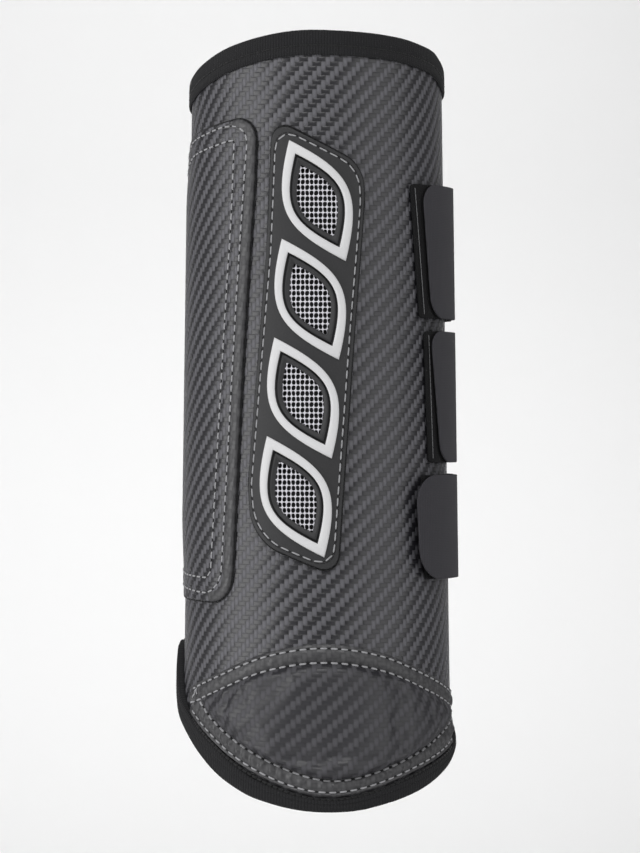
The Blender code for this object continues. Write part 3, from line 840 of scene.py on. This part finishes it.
def add_bindings():
    """Binding tape round every free edge, with its line of stitches."""
    near = NEAR_EDGE - turned(EDGE_BAND + GAP)
    far = FAR_EDGE + turned(EDGE_BAND + GAP)
    top = (TOP_TAPE, TOP_BAND, 1, 1.3)
    hem = (HEM_TAPE, HEM_BAND, -1, 1.5)
    for name, points, tape in (("top", TOP_EDGE, top), ("bottom", BOTTOM_EDGE, hem)):
        mesh = add_fold(f"{name}_front", points, SEAM, near, *tape)
        add_piece(f"{name}_binding_front", mesh, TAPE, "main_wrap", [f"{name}_binding"])
        mesh = add_fold(f"{name}_rear", points, far, REAR_END, *tape)
        bend(add_piece(f"{name}_binding_rear", mesh, TAPE, None, [f"rear_{name}_binding"]))
    sides = (("near", NEAR_EDGE, -1, "main_wrap"), ("far", FAR_EDGE, 1, "rear_wing"))
    for name, edge, inward, body in sides:
        mesh = add_side_fold(name, edge, inward, 1.5)
        add_piece(f"{name}_binding", mesh, TAPE, body, [f"{name}_edge_binding"])
    level = GAP * 0.5 + TOP_TAPE - 0.25
    middle = -TOP_BAND * 0.62
    front = edge_path(TOP_EDGE, SEAM, near, middle)
    rear = edge_path(TOP_EDGE, far, REAR_END, middle)
    stitch_row("top_seam_front", [front], level, "main_wrap", BLACK_PAIR)
    bend(stitch_row("top_seam_rear", [rear], level, None, BLACK_PAIR))


# ---------------------------------------------------------------- front of the shell

def evenly(path, count):
    """Points at even steps along a closed path."""
    whole, spot = follow(path)
    return list(zip(*spot(np.linspace(0.0, whole, count, endpoint=False))))


def between(first, second, share):
    """The outline part of the way from one outline to another."""
    return [(a[0] + (b[0] - a[0]) * share, a[1] + (b[1] - a[1]) * share) for a, b in zip(first, second)]


def add_strike_panel():
    """Raised panel with two rows of stitches."""
    mesh = wrapped_panel("strike", [strike_outline()], STRIKE_PANEL, bevel=0.5, lift=strike_lift,
                         rows=range(-60, 110, 8))
    even_normals(add_piece("strike_panel_face", mesh, CARBON, "main_wrap", ["strike_panel"]))
    outline = strike_outline()
    border = [(grown(outline, -inset), level) for inset, level in STRIKE_BORDER]
    add_ring("strike_border", border, CARBON_PRESSED, (), strike_lift)
    # Painted shadow line: a black cord along the panel's edge.
    shadow_cord("strike_edge_shadow", closed(grown(outline, 0.35)), 0.25, 0.32)
    rows = [closed(rounded_outline(*zip(*row))) for row in (STRIKE_OUTER_ROW, STRIKE_INNER_ROW)]
    outside, inside_row = (evenly(row, 480) for row in rows)
    band = [(between(outside, inside_row, share), level) for share, level in STRIKE_BAND]
    add_ring("strike_band", band, CARBON, (), strike_lift)
    stitch_row("strike_stitches", rows, lambda a, h: STRIKE_PANEL[1] + strike_lift(a, h), "main_wrap")


def shadow_cord(name, path, level, width):
    """Unbroken black cord that paints shade into the seam beside a raised edge: a painted shadow line.
    """
    stitch_row(name, [path], level, "main_wrap", BLACK_PAIR, pitch=2.2, length=2.4, width=width)


def add_ring(name, outlines, material, replaced, lift=None):
    """Closed ring skinned through outlines given as (outline, offset), outside in."""
    count = len(outlines[0][0])
    rings, uvs = [], []
    for i in range(count):
        ring = []
        for outline, offset in outlines:
            x, y = outline[i]
            rise = lift(turned(x), y) if lift else 0.0
            ring.append(place(turned(x), y, offset + rise))
        rings.append(ring)
        uvs.append([outline[i] for outline, offset in outlines + outlines[:1]])
    uvs.append(uvs[0])
    mesh = loft(name, rings, uvs, closed=True, sharp=70)
    return add_piece(name, mesh, material, "main_wrap", replaced)


def inside(outline, spot):
    """Whether a flat point lies inside an outline."""
    odd = False
    for (ax, ay), (bx, by) in zip(outline, outline[1:] + outline[:1]):
        if (ay > spot.y) != (by > spot.y) and spot.x < ax + (bx - ax) * (spot.y - ay) / (by - ay):
            odd = not odd
    return odd


YARN_CELL = Vector((1.67, 2.07))
YARN_WIDTH = 0.72
YARN_THICK = 0.5
YARN_LEVEL = 0.75
YARN_SWAY = 0.18


def add_vent_mesh():
    """Open knitted mesh behind the windows: a lattice of rounded yarns."""
    flat = bmesh.new()
    cells = leaves(MESH_SCALE, 12)
    spots = np.array(cells).reshape(-1, 2)
    low, high = Vector(spots.min(axis=0)), Vector(spots.max(axis=0))
    columns, rows = (math.ceil((high[k] - low[k]) / YARN_CELL[k]) for k in (0, 1))
    grid = {}

    def corner(i, j):
        if (i, j) not in grid:
            sway = YARN_SWAY * math.sin(1.7 * i + 2.3 * j)
            grid[i, j] = flat.verts.new((low.x + i * YARN_CELL.x + sway, low.y + j * YARN_CELL.y, 0))
        return grid[i, j]

    for j in range(rows):
        for i in range(columns):
            spot = low + Vector(((i + 0.5) * YARN_CELL.x, (j + 0.5) * YARN_CELL.y))
            if any(inside(cell, spot) for cell in cells):
                flat.faces.new([corner(i + a, j + b) for a, b in ((0, 0), (1, 0), (1, 1), (0, 1))])
    made = bmesh.ops.inset_individual(flat, faces=flat.faces[:], thickness=YARN_WIDTH)
    holes = [f for f in flat.faces if f not in set(made["faces"])]
    bmesh.ops.delete(flat, geom=holes, context="FACES")
    set_uv(flat)
    mesh = bpy.data.meshes.new("vent_yarns")
    flat.to_mesh(mesh)
    flat.free()
    piece = linked("vent_yarns", mesh)
    thicken = piece.modifiers.new("thickness", "SOLIDIFY")
    thicken.thickness = YARN_THICK
    thicken.offset = 0
    thicken.edge_crease_rim = 0.75
    smooth = piece.modifiers.new("round", "SUBSURF")
    smooth.levels = 1
    smooth.render_levels = 1
    solid = bpy.data.meshes.new_from_object(evaluated(piece))
    bpy.data.objects.remove(piece)
    for vertex in solid.vertices:
        vertex.co = place(turned(vertex.co.x), vertex.co.y, YARN_LEVEL + vertex.co.z)
    solid.shade_smooth()
    add_piece("vent_mesh_yarns", solid, MESH_YARN, "main_wrap", ["vent_mesh"])


WINDOW_WALL = [(0.95, 0.6), (0.90, 1.7), (0.80, 1.6), (0.765, 0.9), (0.745, 0.85), (0.725, 1.65),
               (0.695, 1.85), (0.66, 1.7), (0.61, 1.1), (0.59, 0.98), (0.59, 0.7), (0.80, 0.55)]
WINDOW_RIM = [(1.0, 1.7), (1.0, 2.45), (0.975, 2.8), (0.93, RIM_TOP), (0.85, RIM_TOP),
              (0.795, 2.75), (0.775, 2.4), (0.79, 1.9)]


def add_vent():
    """Rubber plate with a rounded edge, its window walls, pale rims, mesh and stitches."""
    plate = smoothed(plate_outline())
    mesh = wrapped_panel("plate", [plate] + leaves(PLATE_HOLE), PLATE, bevel=0.55)
    even_normals(add_piece("vent_plate_face", mesh, RUBBER, "main_wrap", ["vent_plate"]))
    for i in range(LEAF_COUNT):
        number = i + 1
        wall = [(leaf_outline(i, scale), level) for scale, level in WINDOW_WALL]
        add_ring(f"window_wall_{number}", wall, RUBBER, ())
        rim = [(leaf_outline(i, scale), level) for scale, level in WINDOW_RIM]
        add_ring(f"window_rim_{number}", rim, RIM, [f"vent_rim_{number}"])
    add_vent_mesh()
    # Painted shadow lines: a black cord in the crease inside the plate's rounded edge, and one on the
    # shell just outside it.
    shadow_cord("plate_crease_shadow", closed(plate_outline(1.35)), PLATE[1] - 0.28, 0.3)
    shadow_cord("plate_edge_shade", closed(plate_outline(-0.3)), 0.2, 0.4)
    stitch_row("plate_stitches", [closed(plate_outline(1.8))], PLATE[1] - 0.05, "main_wrap",
               pitch=4.3, length=3.3, width=0.27)


# ---------------------------------------------------------------- fetlock pad

PAD_UPPER = [(-67, -99.0), (-46, -92.6), (-21, -84.2), (2, -81.0), (26, -83.9), (53, -92.7),
             (80, -101.0)]
PAD_LOWER = [(-67, -108.0), (-54, -115.0), (-32, -126.9), (-10, -135.4), (5, -137.7), (20, -136.0),
             (45, -129.3), (62, -125.0), (80, -120.6)]
PAD_LOWER_SEW = [(-67, -98.5), (-56, -104.2), (-50, -108.7), (-32, -118.7), (-10, -127.7), (5, -131.0),
                 (20, -129.4), (45, -122.2), (62, -116.3), (80, -110.2)]
PAD_ENDS = (-66.5, 79.5)
PAD_SEWN = (-65.0, 79.0)
UPPER_ROWS = (1.4, 6.7)
LOWER_ROW = 1.9
PAD_BACK = 0.25
PAD_LEVEL = 1.3
PAD_PUFF = 4.9
PAD_GRID = (66, 22)
PAD_FINE = (300, 110)


def line_heights(line, angles):
    """Height of a line at each angle."""
    return np.array([edge_height(line, a) for a in angles])


def pad_grid(columns, rows):
    """Angles and heights of a grid over the pad."""
    angles = np.linspace(*PAD_ENDS, columns + 1)
    low = line_heights(PAD_LOWER, angles)
    high = line_heights(PAD_UPPER, angles)
    share = np.linspace(0.0, 1.0, rows + 1)
    heights = low[:, None] + (high - low)[:, None] * share[None, :]
    return angles, heights, low, high


def sewn_room(angles, heights, high):
    """Distance of each grid point inside the inner rows of stitches."""
    sewn = line_heights(PAD_LOWER_SEW, angles)
    return np.minimum(heights - sewn[:, None], high[:, None] - heights - UPPER_ROWS[1])


def end_room(angles, first, last):
    """Angle of each station inside the pad's ends, less a margin at each end."""
    return np.minimum(angles - PAD_ENDS[0] - first, PAD_ENDS[1] - angles - last)


def quarter_round(share):
    """0 to 1 along a quarter of a circle."""
    share = np.clip(share, 0, 1)
    return np.sqrt(share * (2 - share))


def plain_puff(columns, rows):
    """Smooth dome between the stitched rims, from 0 to 1."""
    angles, heights, low, high = pad_grid(columns, rows)
    across = quarter_round(sewn_room(angles, heights, high) / 9.0)
    return across * quarter_round(end_room(angles, 6, 3) / 24.0)[:, None]


PAD_CLOTH = {"quality": 6, "mass": 0.25, "tension_stiffness": 12, "compression_stiffness": 12,
             "shear_stiffness": 6, "bending_stiffness": 0.6, "vertex_group_mass": "sewn",
             "use_pressure": True, "uniform_pressure_force": 12.0, "shrink_min": -0.03}
PAD_FRAMES = 24


def blown_puff(columns, rows):
    """Cloth simulation of the pad's cover, sewn down round its rim and filled from below."""
    angles, heights, low, high = pad_grid(columns, rows)
    dome = plain_puff(columns, rows)
    start = 1.2 * dome
    wide = rows + 1
    verts = [place(a, heights[i, j], start[i, j]) for i, a in enumerate(angles) for j in range(wide)]
    faces = [(i * wide + j, (i + 1) * wide + j, (i + 1) * wide + j + 1, i * wide + j + 1)
             for i in range(columns) for j in range(rows)]
    mesh = bpy.data.meshes.new("pad_cloth")
    mesh.from_pydata(verts, [], faces)
    cloth_piece = linked("pad_cloth", mesh)
    pinned = cloth_piece.vertex_groups.new(name="sewn")
    flat_spots = [i * wide + j for i in range(columns + 1) for j in range(wide) if dome[i, j] <= 0.0]
    pinned.add(flat_spots, 1.0, "REPLACE")
    cloth = cloth_piece.modifiers.new("cloth", "CLOTH")
    for name, value in PAD_CLOTH.items():
        setattr(cloth.settings, name, value)
    cloth.settings.effector_weights.gravity = 0.0
    cloth.point_cache.frame_start = 1
    cloth.point_cache.frame_end = PAD_FRAMES
    scene = bpy.context.scene
    for step in range(1, PAD_FRAMES + 1):
        scene.frame_set(step)
    result = evaluated(cloth_piece).to_mesh()
    lifts = np.zeros((columns + 1, wide))
    for n, vertex in enumerate(result.vertices):
        height = vertex.co.z / MM
        lifts[n // wide, n % wide] = math.hypot(vertex.co.x, vertex.co.y) / MM - form_radius(height)
    bpy.data.objects.remove(cloth_piece)
    scene.frame_set(1)
    return np.clip(lifts / lifts.max(), 0.0, 1.0)


def resampled(grid, columns, rows):
    """The grid on finer columns and rows, smoothly interpolated and softened."""
    old_u = np.linspace(0, 1, grid.shape[0])
    old_v = np.linspace(0, 1, grid.shape[1])
    new_u = np.linspace(0, 1, columns + 1)
    new_v = np.linspace(0, 1, rows + 1)
    part = np.array([np.interp(new_u, old_u, grid[:, j]) for j in range(grid.shape[1])]).T
    fine = np.array([np.interp(new_v, old_v, part[i]) for i in range(columns + 1)])
    for _ in range(3):
        fine[1:-1, :] = (fine[:-2, :] + 2 * fine[1:-1, :] + fine[2:, :]) / 4
        fine[:, 1:-1] = (fine[:, :-2] + 2 * fine[:, 1:-1] + fine[:, 2:]) / 4
    return fine


def sewn_edge(angles, heights, high):
    """0 on the sewn rims, rising quickly to 1 inside the inner rows of stitches."""
    ends = np.clip(end_room(angles, 3, 1) / 5.0, 0, 1)
    return quarter_round(sewn_room(angles, heights, high) / 2.6) * ends[:, None]


def bulges(line, angles):
    """0 at each needle hole and 1 midway between them, for the stitches along a line."""
    path = edge_path(line, *PAD_SEWN, 0.0)
    lengths = path_lengths(path)
    actual = lengths[-1] / round(lengths[-1] / STITCH_PITCH)
    run = np.interp(np.radians(angles) * FLAT_RADIUS, [p[0] for p in path], lengths)
    return 0.5 - 0.5 * np.cos(2 * math.pi * run / actual)


def seam_dips(angles, heights, low, high):
    """Grooves under the stitch rows, and the quilted bulges between each pair of rows."""
    shape = np.zeros_like(heights)
    sewn = line_heights(PAD_LOWER_SEW, angles)
    upper = bulges(PAD_UPPER, angles)[:, None]
    lower = bulges(PAD_LOWER, angles)[:, None]
    for line, puff in ((high - UPPER_ROWS[0], upper), (high - UPPER_ROWS[1], upper),
                       (low + LOWER_ROW, lower), (sewn, lower)):
        away = heights - line[:, None]
        shape -= (0.55 - 0.25 * puff) * np.exp(-(away / 0.8) ** 2)
    middle_high = heights - high[:, None] + sum(UPPER_ROWS) / 2
    middle_low = heights - (sewn + low + LOWER_ROW)[:, None] / 2
    shape += 0.45 * (0.55 + 0.45 * upper) * np.exp(-(middle_high / 1.7) ** 2)
    return shape + 1.15 * (0.25 + 0.75 * lower) * np.exp(-(middle_low / 1.7) ** 2)


def add_fetlock_pad():
    """Cover of the fetlock pad, sewn down with two double rows of stitches, over its foam."""
    columns, rows = PAD_FINE
    coarse = blown_puff(*PAD_GRID)
    angles, heights, low, high = pad_grid(columns, rows)
    puff = resampled(coarse, columns, rows) * sewn_edge(angles, heights, high)
    level = PAD_LEVEL + PAD_PUFF * puff + seam_dips(angles, heights, low, high)
    rim = np.minimum(np.arange(rows + 1), np.arange(rows + 1)[::-1])
    level -= 0.9 * np.clip(1 - rim / 2.0, 0, 1)[None, :]
    rings, uvs = [], []
    for i, angle in enumerate(angles):
        face = [place(angle, heights[i, j], level[i, j]) for j in range(rows + 1)]
        back = [place(angle, heights[i, j], PAD_BACK) for j in range(rows, -1, -10)]
        rings.append(face + back)
        around = [*range(rows + 1), *range(rows, -1, -10), 0]
        uvs.append([(arc(angle), heights[i, j]) for j in around])
    mesh = loft("fetlock", rings, uvs)
    # Its cover takes the darker copy of the carbon: painted shade.
    pad = add_piece("fetlock_pad", mesh, CARBON_PAD_SHADED, "main_wrap",
                    ["fetlock_cover", "fetlock_padding"])
    mesh.materials.append(CARBON_PRESSED)
    ring = len(rings[0])
    for face in mesh.polygons:
        j = min(vertex % ring for vertex in face.vertices)
        i = face.vertices[0] // ring
        if j <= rows and puff[min(i, columns), min(j, rows)] < 0.02:
            face.material_index = 1

    def on_pad(angle, height):
        i = min(max(round((angle - angles[0]) / (angles[-1] - angles[0]) * columns), 0), columns)
        share = (height - low[i]) / (high[i] - low[i])
        return float(np.interp(share * rows, np.arange(rows + 1), level[i]))

    start, end = PAD_SEWN
    lines = [edge_path(PAD_UPPER, start, end, -row) for row in UPPER_ROWS]
    lines += [edge_path(PAD_LOWER, start, end, LOWER_ROW),
              edge_path(PAD_LOWER_SEW, start + 7, end, -0.5)]
    stitch_row("pad_stitches", lines, on_pad, "main_wrap")
    # Painted shadow line: a black cord between the pad's lower edge and the hem tape.
    seam = edge_path(PAD_LOWER, PAD_ENDS[0] + 3, PAD_ENDS[1] - 3, -0.8)
    shadow_cord("pad_shadow_seam", seam, 0.75, 0.55)
    tack = [[(arc(-62.6), -103.0), (arc(-60.4), -98.8)], [(arc(-60.2), -98.6), (arc(-58.4), -101.4)]]
    stitch_row("pad_tack", tack, lambda a, h: on_pad(a, h) + 0.15, "main_wrap",
               pitch=9, length=4.2, width=0.25)


# ---------------------------------------------------------------- closing straps

STRAP_BANDS = [(40.7, 91.2), (-13.7, 36.0), (-57.6, -18.3)]
ELASTIC_TIPS = [(46.6, 52.0), (55.0, 57.3), (52.0, 54.0)]
COVER_TIPS = [(48.9, 54.7), (53.6, 60.6), (43.3, 45.8)]
COVER_CORNERS = [8.0, 7.0, 11.0]
LIP = 1.6
LIP_LIFT = 0.55
STRAP_ROOT = 150.0
COVER_ROOT = 146.0
ANCHOR_END = 172.0
ELASTIC_THICK = 0.8
COVER_THICK = 0.9
HOOK = 0.4
COVER_HOOK_END = 78.0
PATCH_END = 80.0
LIFT_LOW = 0.4
LIFT_HIGH = 1.8
LIFT_RAMP = 8.0
EDGE_CLEARANCE = 4.0


def strap_lift(angle, height=0.0):
    """Height of the elastic strap's inner face over the shell along its way."""
    over_patch = 1 - ramp(angle, PATCH_END, PATCH_END + LIFT_RAMP)
    crest = NEAR_EDGE - turned(EDGE_BAND) - EDGE_CLEARANCE
    over_edges = ramp(angle, crest - LIFT_RAMP, crest) - ramp(angle, STRAP_ROOT + 2, STRAP_ROOT + 10)
    return LIFT_LOW + (LIFT_HIGH - LIFT_LOW) * max(over_patch, over_edges)


def cover_lift(angle, height=0.0):
    """Height of the strap cover's inner face: on the elastic, and over its own hook pad."""
    crest = COVER_HOOK_END + 1
    over_hook = 1 - ramp(angle, crest, crest + LIFT_RAMP)
    return strap_lift(angle) + ELASTIC_THICK + GAP + (HOOK + GAP) * over_hook


def strap_outline(band, tips, end, corner):
    """Flat outline of a strap from its rounded tip to its sewn end."""
    low, high = band
    corners = [(arc(tips[1]), low), (arc(end), low), (arc(end), high), (arc(tips[0]), high)]
    return rounded_outline(corners, [corner, 0.5, 0.5, corner])


def add_strap(index):
    """One closing strap: the elastic with its sewn end, and the cover over it."""
    number = index + 1
    band = STRAP_BANDS[index]
    elastic_body = f"strap_{number}"
    tips = ELASTIC_TIPS[index]
    # The elastic runs on past its tip as a lip that slopes down onto the shell; its black band is
    # partly the elastic's own end and partly painted shade under the lifted strap.
    lip = turned(LIP)

    def lip_lift(angle, height):
        share = min(max((band[1] - height) / (band[1] - band[0]), 0.0), 1.0)
        edge = tips[0] + (tips[1] - tips[0]) * share
        return LIP_LIFT + (strap_lift(angle) - LIP_LIFT) * ramp(angle, edge - lip, edge + 0.6)

    outline = strap_outline(band, (tips[0] - lip, tips[1] - lip), ANCHOR_END, 1.5)
    mesh = wrapped_panel("elastic", [outline], (0.0, ELASTIC_THICK), bevel=0.35, lift=lip_lift)
    elastic = add_piece(f"elastic_{number}", mesh, ELASTIC, None,
                        [f"elastic_strap_{number}", f"strap_anchor_{number}"])
    even_normals(elastic)
    # A continuous grey line along the elastic's bend at its tip: a painted highlight for the light that
    # edge catches.
    tip = [(arc(tips[1]) - 0.1, band[0] + 1.5), (arc(tips[0]) - 0.1, band[1] - 1.5)]
    stitch_row(f"elastic_edge_glint_{number}", [tip], lambda a, h: strap_lift(a) + 0.5, elastic_body,
               (EDGE_GLINT, EDGE_GLINT), pitch=2.2, length=2.4, width=0.17)
    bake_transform(elastic)
    outline = strap_outline(band, COVER_TIPS[index], COVER_ROOT + 1.0, COVER_CORNERS[index])
    mesh = wrapped_panel("cover", [outline], (0.0, COVER_THICK), bevel=0.4, lift=cover_lift)
    cover = add_piece(f"cover_{number}", mesh, STRAP, None, [f"strap_cover_{number}"])
    even_normals(cover)
    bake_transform(cover)
    low, high = band[0] + 3, band[1] - 3
    left, right = arc(STRAP_ROOT + 11), arc(ANCHOR_END - 2)
    box = [(left, low), (right, low), (right, high), (left, high)]
    level = LIFT_LOW + ELASTIC_THICK
    stitch_row(f"anchor_stitches_{number}", [closed(box), [box[0], box[2]], [box[1], box[3]]], level,
               "rear_wing", BLACK_PAIR, pitch=3.4, length=2.4)


def dress_cad_nodes():
    """Give the CAD pieces that stay visible their own materials."""
    for name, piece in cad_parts.items():
        if piece.hide_render:
            continue
        material = LOOPS if name.startswith("loop_patch") else HOOKS
        for slot in piece.material_slots:
            slot.material = material


# ---------------------------------------------------------------- studio

# The camera is level with the boot's middle and a little to the right of its axis.
CAMERA_SHIFT = 0.0012
CAMERA_DISTANCE = 1.4
FOCAL_PIXELS = 3632.0
IMAGE_HEIGHT = 853
SENSOR = 36.0
STAGE_HALF = 3.2
STAGE_NEAR, STAGE_FAR = -3.0, 2.4
STAGE_FLOOR = -0.55
STAGE_BEND = 0.8
STAGE_HEIGHT = 3.2


def stage_material():
    """Matt pale floor."""
    material = bpy.data.materials.new("stage_white")
    material.use_nodes = True
    shader = material.node_tree.nodes["Principled BSDF"]
    shader.inputs["Base Color"].default_value = (0.90, 0.90, 0.90, 1)
    shader.inputs["Roughness"].default_value = 0.9
    return material


def add_stage():
    """A floor that sweeps up into a backdrop."""
    profile = [(STAGE_NEAR, STAGE_FLOOR)]
    for k in range(13):
        turn = math.pi / 2 * k / 12
        profile.append((STAGE_FAR - STAGE_BEND + STAGE_BEND * math.sin(turn),
                        STAGE_FLOOR + STAGE_BEND - STAGE_BEND * math.cos(turn)))
    profile.append((STAGE_FAR, STAGE_FLOOR + STAGE_HEIGHT))
    verts = [(x, y, z) for x in (-STAGE_HALF, STAGE_HALF) for y, z in profile]
    count = len(profile)
    faces = [(i, i + 1, count + i + 1, count + i) for i in range(count - 1)]
    mesh = bpy.data.meshes.new("stage")
    mesh.from_pydata(verts, [], faces)
    mesh.shade_smooth()
    mesh.materials.append(stage_material())
    linked("stage", mesh)


def add_light(name, place_at, target, size, energy, spread=180):
    """A rectangular softbox that points at a target."""
    data = bpy.data.lights.new(name, "AREA")
    data.shape = "RECTANGLE"
    data.size, data.size_y = size
    data.energy = energy
    data.spread = math.radians(spread)
    light = linked(name, data)
    light.location = place_at
    light.rotation_euler = (Vector(target) - Vector(place_at)).to_track_quat("-Z", "Y").to_euler()


def add_studio():
    """Two tall side softboxes, a soft light from above in front, and one on the backdrop alone."""
    add_light("left_softbox", (-1.17, -0.57, 0.1), (0, 0, 0), (1.1, 1.3), 8.6)
    add_light("right_softbox", (1.10, -0.69, 0.1), (0, 0, 0), (1.35, 1.3), 3.9)
    add_light("front_softbox", (0.0, -1.25, 1.35), (0, 0, 0), (1.2, 0.6), 11.0)
    add_light("back_wash", (-0.12, 0.5, 2.2), (-0.12, 2.4, 0.0), (1.5, 1.2), 8.25, spread=55)
    world = bpy.data.worlds.new("studio")
    world.use_nodes = True
    background = world.node_tree.nodes["Background"]
    background.inputs["Color"].default_value = (1, 1, 1, 1)
    background.inputs["Strength"].default_value = 0.13
    bpy.context.scene.world = world


def add_camera():
    """A long lens that looks straight at the front of the boot."""
    data = bpy.data.cameras.new("camera")
    data.sensor_fit = "VERTICAL"
    data.sensor_height = SENSOR
    data.lens = FOCAL_PIXELS / IMAGE_HEIGHT * SENSOR
    camera = linked("camera", data)
    camera.location = (CAMERA_SHIFT, -CAMERA_DISTANCE, 0.0)
    camera.rotation_euler = (math.pi / 2, 0, 0)
    bpy.context.scene.camera = camera


add_camera()
add_layers()
add_bindings()
add_strike_panel()
add_vent()
add_fetlock_pad()
for strap_index in range(len(STRAP_BANDS)):
    add_strap(strap_index)
dress_cad_nodes()
add_stage()
add_studio()
bpy.context.scene.view_settings.view_transform = "Standard"
